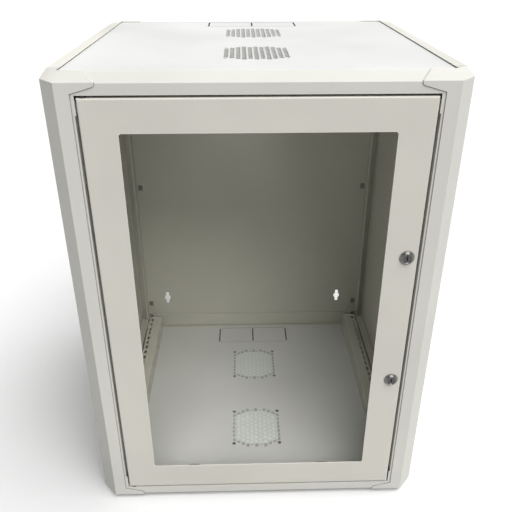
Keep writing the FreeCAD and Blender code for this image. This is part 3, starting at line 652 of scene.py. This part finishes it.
def pierced_strip(mesh, corner, along, across, slots):
    """A strip from a corner along two edges; slots are (from, to) pairs as distances along both edges."""
    strip = bmesh.new()
    rectangle(strip, (0.0, 0.0), (along.length, across.length), 0.0)
    for low, high in slots:
        rectangle(strip, low, high, 0.0)
    fill_level(strip, strip.edges[:])
    u, v = along.normalized(), across.normalized()
    stand = Matrix((u, v, u.cross(v))).transposed().to_4x4()
    bmesh.ops.transform(strip, matrix=Matrix.Translation(corner) @ stand, verts=strip.verts[:])
    data = bpy.data.meshes.new("strip")
    strip.to_mesh(data)
    strip.free()
    mesh.from_mesh(data)
    bpy.data.meshes.remove(data)


def slot_row(first, pitch, length, size, height):
    """Slots centred on a row, from the first place to the end of the strip."""
    count = int((length - first - size.x) / pitch) + 1
    places = [Vector((first + pitch * step, height)) for step in range(count)]
    return [(place - size / 2, place + size / 2) for place in places]


print("sheet:", sheet_metal / mm, "mm")

# %% Fold three strips to a channel
web_slot = Vector((20.0 * mm, 7.0 * mm))
web_pitch = 60.0 * mm
tie_slot = Vector((12.0 * mm, 6.0 * mm))
tie_pitch = 20.0 * mm
tie_inset = 7.0 * mm
cabinet_middle = (cad_box[0][2] + cad_box[1][2]) / 2


def channel(node, bolt_place):
    """A channel in place of one of the frame's nodes, open towards the cabinet's side."""
    low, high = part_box(node)
    side = -1.0 if low.x < 0 else 1.0
    upright = 1.0 if low.z < cabinet_middle else -1.0
    web_x = high.x if side < 0 else low.x
    foot = low.z if upright > 0 else high.z
    length = Vector((0.0, high.y - low.y, 0.0))
    tall = Vector((0.0, 0.0, upright * (high.z - low.z)))
    flange = Vector((side * (high.x - low.x), 0.0, 0.0))
    corner = Vector((web_x, low.y, foot))
    web_slots = slot_row(bolt_place - low.y, web_pitch, length.y, web_slot, tall.length / 2)
    tie_slots = slot_row(tie_pitch, tie_pitch, length.y, tie_slot, flange.length - tie_inset)
    mesh = bmesh.new()
    pierced_strip(mesh, corner, length, tall, web_slots)
    pierced_strip(mesh, corner + tall, length, flange, tie_slots)
    pierced_strip(mesh, corner, length, flange, [])
    bmesh.ops.remove_doubles(mesh, verts=mesh.verts[:], dist=fold_merge)
    bmesh.ops.recalc_face_normals(mesh, faces=mesh.faces[:])
    web_face = max(mesh.faces, key=lambda face: abs(face.normal.x))
    if web_face.normal.x * side > 0:
        bmesh.ops.reverse_faces(mesh, faces=mesh.faces[:])
    rail = new_piece("slotted_" + node, mesh, panel_coat, "cabinet")
    thicken(rail, sheet_metal, even=True)
    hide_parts(node)
    return len(web_slots) + len(tie_slots)


rail_low, rail_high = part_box("left_mounting_rail")
bolt_y = (rail_low.y + rail_high.y) / 2
for level in ("low", "high"):
    for side in ("left", "right"):
        node = f"{side}_{level}_depth_rail"
        print(node, channel(node, bolt_y), "slots")

# %% [markdown]
# ## Turned lock housings
# A cam lock's housing is die cast and chromed: a flange on the door, a raised collar and a threaded barrel
# behind. It is round about one axis, so its half profile is drawn once and spun, and its rims are bevelled.

# %% Spin the two housings
bezel_radius = 11.25 * mm
bezel_height = 2.0 * mm
collar_radius = 9.3 * mm
collar_height = 4.0 * mm
barrel_radius = 9.5 * mm
barrel_end = -17.0 * mm
bore_radius = 7.06 * mm
lock_rim = 0.8 * mm
lock_merge = 0.01 * mm
rim_angle = 40.0
housing_profile = (
    (bore_radius, collar_height), (collar_radius, collar_height),
    (collar_radius, bezel_height), (bezel_radius, bezel_height),
    (bezel_radius, 0.0), (barrel_radius, 0.0),
    (barrel_radius, barrel_end), (bore_radius, barrel_end),
)


def lock_housing(mesh, axis):
    """Spin the closed half profile: radius and distance in front of the door's face."""
    points = [mesh.verts.new(axis + Vector((radius, -out, 0.0))) for radius, out in housing_profile]
    edges = [mesh.edges.new(ends) for ends in zip(points, points[1:] + points[:1])]
    bmesh.ops.spin(mesh, geom=points + edges, cent=axis, axis=(0.0, 1.0, 0.0), dvec=(0.0, 0.0, 0.0),
                   angle=math.tau, steps=48, use_merge=True, use_duplicate=False)


low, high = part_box("lock_housings")
door_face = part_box("door_frame")[0].y
housing_half = (high.x - low.x) / 2
lock_x = (low.x + high.x) / 2
lock_heights = (low.z + housing_half, high.z - housing_half)
housings = bmesh.new()
for z in lock_heights:
    lock_housing(housings, Vector((lock_x, door_face, z)))
bmesh.ops.remove_doubles(housings, verts=housings.verts[:], dist=lock_merge)
bmesh.ops.recalc_face_normals(housings, faces=housings.faces[:])
sharp_rims = [edge for edge in housings.edges
              if edge.is_manifold and edge.calc_face_angle() > math.radians(rim_angle)]
bmesh.ops.bevel(housings, geom=sharp_rims, offset=lock_rim, offset_type="OFFSET", segments=5,
                profile=0.5, affect="EDGES", material=-1)
for face in housings.faces:
    face.smooth = True
turned_housings = new_piece("turned_lock_housings", housings, lock_chrome, "door")
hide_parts("lock_housings")
print("lock housings at heights", [round(z / mm) for z in lock_heights])

# %% [markdown]
# ## Screws, bolts and nuts
# Each mounting rail is bolted to a depth rail at its foot and head, with a nut behind. The back panel, the
# vent covers and the glass clips have screws. They could be whole screws with threads, but only the heads
# show, so each is a six-sided disc on a washer. Both are short cylinders with broken edges.

# %% A hexagon head on its washer
broken_share = 0.12
washer_sides = 28
washer_share = 0.2
washer_spread = 0.75


def disc(mesh, sides, radius, start, height, turn):
    """A flat disc along +Z whose edges are broken, then turned and moved by a matrix."""
    corners = bmesh.ops.create_cone(mesh, cap_ends=True, segments=sides, radius1=radius, radius2=radius,
                                    depth=height)["verts"]
    move(mesh, corners, (0.0, 0.0, start + height / 2))
    rims = list({edge for corner in corners for edge in corner.link_edges})
    broken = bmesh.ops.bevel(mesh, geom=rims, offset=broken_share * radius, offset_type="OFFSET", segments=2,
                             profile=0.5, affect="EDGES", material=-1)
    left = {corner for corner in corners if corner.is_valid}
    made = {corner for face in broken["faces"] for corner in face.verts}
    bmesh.ops.transform(mesh, matrix=turn, verts=list(made | left))


def hexagon_head(mesh, place, direction, head):
    """A head, given by its width across flats and its height, that points in a direction."""
    across, height = head
    turn = Matrix.Translation(place) @ direction.to_track_quat("Z", "Y").to_matrix().to_4x4()
    washer = washer_share * height
    disc(mesh, washer_sides, washer_spread * across, 0.0, washer, turn)
    disc(mesh, 6, across / math.sqrt(3), washer, height - washer, turn)


print("washer's share of a head:", washer_share)

# %% Bolts and nuts of the mounting rails
bolt_head = (10.0 * mm, 5.0 * mm)
bolt_nut = (10.0 * mm, 6.0 * mm)
bolt_heights = []
for node in ("left_low_depth_rail", "left_high_depth_rail"):
    low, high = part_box(node)
    bolt_heights.append((low.z + high.z) / 2)
bolts = bmesh.new()
nuts = bmesh.new()
for side in (-1.0, 1.0):
    outwards = Vector((side, 0.0, 0.0))
    for z in bolt_heights:
        rail_side = Vector((side * -rail_low.x, bolt_y, z))
        hexagon_head(bolts, rail_side - outwards * sheet_metal, -outwards, bolt_head)
        hexagon_head(nuts, rail_side + outwards * sheet_metal, outwards, bolt_nut)
new_piece("rail_bolts", bolts, fastener_zinc, "cabinet")
new_piece("rail_nuts", nuts, fastener_zinc, "cabinet")
print("rail bolts at heights", [round(z / mm, 1) for z in bolt_heights])

# %% Screws of the back panel
back_head = (7.0 * mm, 4.0 * mm)
back_screw_side = 11.0 * mm
back_screw_end = 35.5 * mm
back_screw_lift = 13.5 * mm
plate_half = Vector((5.0 * mm, 0.5 * mm, 7.0 * mm))
forwards = Vector((0.0, -1.0, 0.0))
back_low, back_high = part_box("back_panel")
back_face = back_high.y - sheet_metal
back_middle = (back_low.z + back_high.z) / 2
back_heights = (back_low.z + back_screw_end, back_middle + back_screw_lift, back_high.z - back_screw_end)
back_screws = bmesh.new()
for x in (back_low.x + back_screw_side, back_high.x - back_screw_side):
    for z in back_heights:
        plate = Vector((x, back_face - plate_half.y, z))
        block(back_screws, plate - plate_half, plate + plate_half, plate_edge)
        seat = Vector((x, back_face - 2 * plate_half.y, z))
        hexagon_head(back_screws, seat, forwards, back_head)
new_piece("back_screws", back_screws, blackened_steel, "cabinet")
print("back screws:", 2 * len(back_heights))

# %% Screws of the vent covers
cover_head = (5.0 * mm, 1.4 * mm)
cover_places = [place for y in vent_places for place in fan_corners(y, floor_top)]
cover_screws = bmesh.new()
for seat in cover_places:
    hexagon_head(cover_screws, seat, up, cover_head)
new_piece("cover_screws", cover_screws, blackened_steel, "cabinet")
print("cover screws:", len(cover_places))

# %% Screws of the glass clips
clip_head = (6.0 * mm, 3.0 * mm)
clip_foot = 7.0 * mm
clip_spread = 230.0 * mm
clip_pair = 240.0 * mm
clip_low, clip_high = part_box("glass_clips")
glass_low, glass_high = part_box("door_glass")
door_middle = (glass_low.z + glass_high.z) / 2
clip_places = [(x, door_middle + z) for x in (clip_low.x + clip_foot, clip_high.x - clip_foot)
               for z in (-clip_spread, 0.0, clip_spread)]
clip_places += [(x, z) for x in (-clip_pair / 2, clip_pair / 2)
                for z in (clip_low.z + clip_foot, clip_high.z - clip_foot)]
clip_screws = bmesh.new()
for x, z in clip_places:
    hexagon_head(clip_screws, Vector((x, clip_low.y + sheet_metal, z)), -forwards, clip_head)
new_piece("clip_screws", clip_screws, fastener_zinc, "door")
print("clip screws:", len(clip_places))

# %% [markdown]
# ## Floor and light
# The cabinet stands on a pale studio floor. Two wide, soft lights come from above, one from the right and one
# from the front. The room glows only near the horizon, and less on the left, which models the folded corners.
# A bright floor and room would also fill the inside with light. So the camera sees both of them white, but
# they give back less light than it sees, and the inside stays dark towards the top.

# %% Studio floor
floor_half = 12.0
floor_seen = (0.74, 0.74, 0.74)
floor_bounce = (0.45, 0.45, 0.45)
floor_mesh = bmesh.new()
bmesh.ops.create_grid(floor_mesh, x_segments=1, y_segments=1, size=floor_half)
floor_data = bpy.data.meshes.new("studio_floor")
floor_mesh.to_mesh(floor_data)
floor_mesh.free()
floor = bpy.data.objects.new("studio_floor", floor_data)
bpy.context.collection.objects.link(floor)
floor_finish, floor_tree, floor_shader = new_finish("pale_floor", floor_seen, 0.9)
floor_ray = floor_tree.nodes.new("ShaderNodeLightPath")
floor_tone = ramp(floor_tree, floor_ray.outputs["Is Camera Ray"], floor_bounce, floor_seen)
floor_tree.links.new(floor_tone, floor_shader.inputs["Base Color"])
floor_data.materials.append(floor_finish)
print("floor:", floor_half * 2, "m across")

# %% Soft lights
softness = 50.0


def soft_light(name, towards, strength):
    """A wide, even light from one direction."""
    lamp = bpy.data.lights.new(name, "SUN")
    lamp.energy = strength
    lamp.angle = math.radians(softness)
    holder = bpy.data.objects.new(name, lamp)
    holder.rotation_euler = Vector(towards).to_track_quat("Z", "Y").to_euler()
    bpy.context.collection.objects.link(holder)


soft_light("side_light", (0.45, 0.08, 0.89), 2.2)
soft_light("front_light", (0.18, -0.55, 0.815), 3.0)
print("lights:", len(bpy.data.lights))

# %% Glow of the room
horizon_glow = (0.8, 0.8, 0.8)
upper_glow = (0.07, 0.07, 0.07)
glow_heights = (0.04, 0.3)
side_strengths = (0.4, 1.0)
side_reach = 0.6
backdrop_white = (0.9, 0.9, 0.9)
world = bpy.data.worlds.new("studio_room")
bpy.context.scene.world = world
world.use_nodes = True
room = world.node_tree
walls = room.nodes["Background"]
where = room.nodes.new("ShaderNodeTexCoord")
direction = room.nodes.new("ShaderNodeSeparateXYZ")
room.links.new(where.outputs["Generated"], direction.inputs["Vector"])
glow = ramp(room, direction.outputs["Z"], horizon_glow, upper_glow, *glow_heights)
room.links.new(glow, walls.inputs["Color"])
dim_side = spread(room, direction.outputs["X"], *side_strengths, -side_reach, side_reach)
room.links.new(dim_side, walls.inputs["Strength"])
backdrop = room.nodes.new("ShaderNodeBackground")
backdrop.inputs["Color"].default_value = (*backdrop_white, 1.0)
room_ray = room.nodes.new("ShaderNodeLightPath")
either = room.nodes.new("ShaderNodeMixShader")
room.links.new(room_ray.outputs["Is Camera Ray"], either.inputs["Fac"])
room.links.new(walls.outputs["Background"], either.inputs[1])
room.links.new(backdrop.outputs["Background"], either.inputs[2])
room.links.new(either.outputs["Shader"], room.nodes["World Output"].inputs["Surface"])
bpy.context.scene.view_settings.view_transform = "Standard"
print("room:", world.name)

# %% [markdown]
# ## Camera
# The camera stands a little above the cabinet, close in front of it, and looks down. Its place, tilt, turn
# and lens could be set by eye. Here they were fitted to the cabinet's edges in the photograph, so that a
# render and the photograph can be laid over each other.

# %% Camera
camera_place = (-0.0260, -1.1178, 0.9614)
camera_tilt = 62.07
camera_turn = -1.593
focal_pixels = 602.2
image_pixels = 512
sensor_width = 36.0
lens_shift = (-0.002, -0.001)
nearest = 0.05
lens = bpy.data.cameras.new("photo_camera")
lens.sensor_width = sensor_width
lens.lens = focal_pixels / image_pixels * sensor_width
lens.shift_x, lens.shift_y = lens_shift
lens.clip_start = nearest
camera = bpy.data.objects.new("photo_camera", lens)
camera.location = camera_place
camera.rotation_euler = (math.radians(camera_tilt), 0.0, math.radians(camera_turn))
bpy.context.collection.objects.link(camera)
bpy.context.scene.camera = camera
print("camera at", camera_place)
